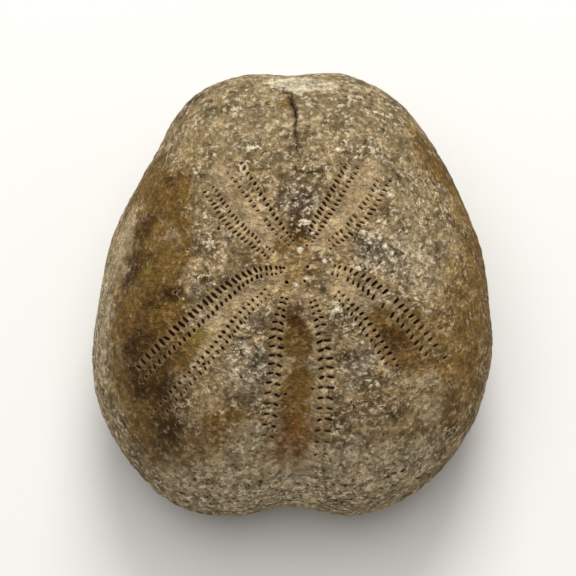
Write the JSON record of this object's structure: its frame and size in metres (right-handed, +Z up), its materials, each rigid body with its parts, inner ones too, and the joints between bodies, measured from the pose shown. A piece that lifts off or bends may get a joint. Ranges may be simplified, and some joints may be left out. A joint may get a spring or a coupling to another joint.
{
  "type": "fossil sea urchin",
  "caption": "Heart-shaped fossil sea urchin test, domed above with petal-shaped rows of pores and a front groove, lying on its flat underside.",
  "frame": {"origin": "middle of the footprint, on the surface that the worn underside rests on", "axes": "+Z up through the top of the back; -Y the front end, with the groove and notch; +Y the cut-off rear end"},
  "size_m": [0.0444, 0.0476, 0.031],
  "materials": {
    "limestone": "dull, worn calcite crust over stone: grey-tan with brown and ochre stains, pale specks and open pores"
  },
  "bodies": {
    "root": {"urchin_test": "limestone"}
  },
  "joints": []
}
